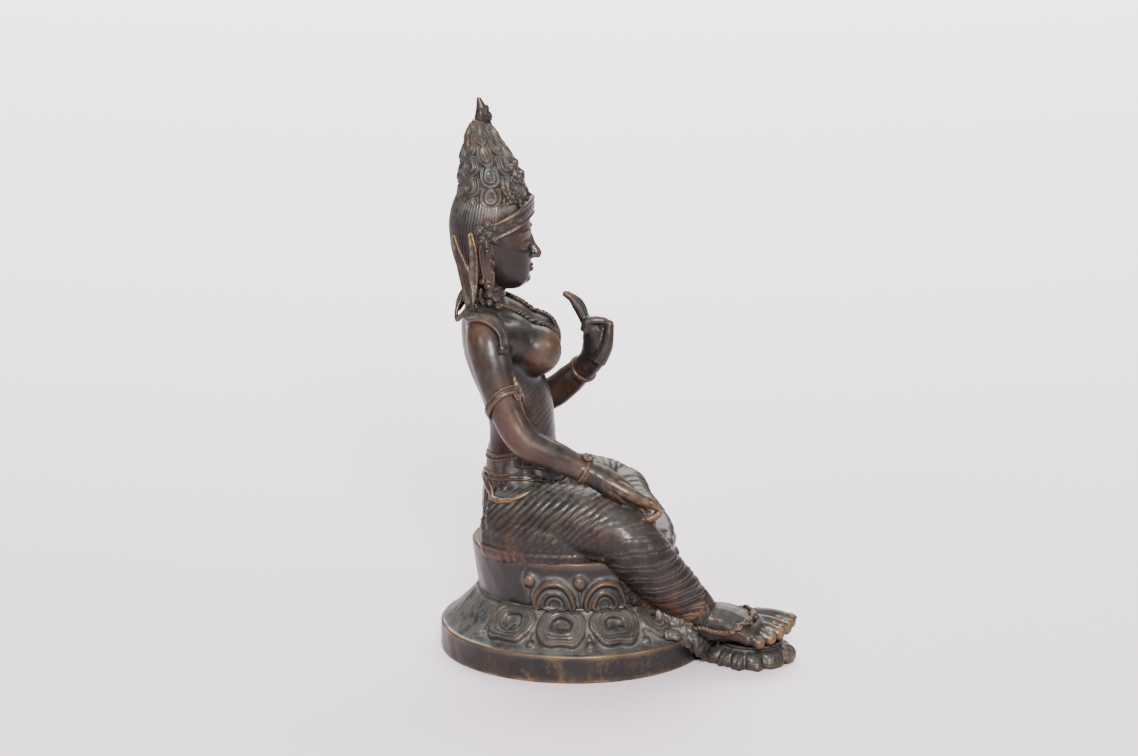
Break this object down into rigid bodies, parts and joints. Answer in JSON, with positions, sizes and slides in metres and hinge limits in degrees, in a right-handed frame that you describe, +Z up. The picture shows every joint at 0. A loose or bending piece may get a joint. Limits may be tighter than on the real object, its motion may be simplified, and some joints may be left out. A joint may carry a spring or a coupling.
{
  "type": "seated goddess figure on a lotus plinth",
  "caption": "Dark cast bronze goddess seated at ease on a round lotus plinth, one foot down on a small lotus footrest, tall dressed hair and a raised hand.",
  "frame": {"origin": "centre of the plinth's underside", "axes": "+Z up, -Y the way the figure looks, -X her right hand"},
  "size_m": [0.1088, 0.1422, 0.2236],
  "materials": {
    "plinth_bronze": "dark brown patina, semi-gloss, worn to warm metal on the edges",
    "figure_bronze": "dark brown patina, semi-gloss, redder on the raised smooth places"
  },
  "bodies": {
    "root": {"lotus_plinth": "plinth_bronze", "seated_goddess": "figure_bronze"}
  },
  "joints": []
}
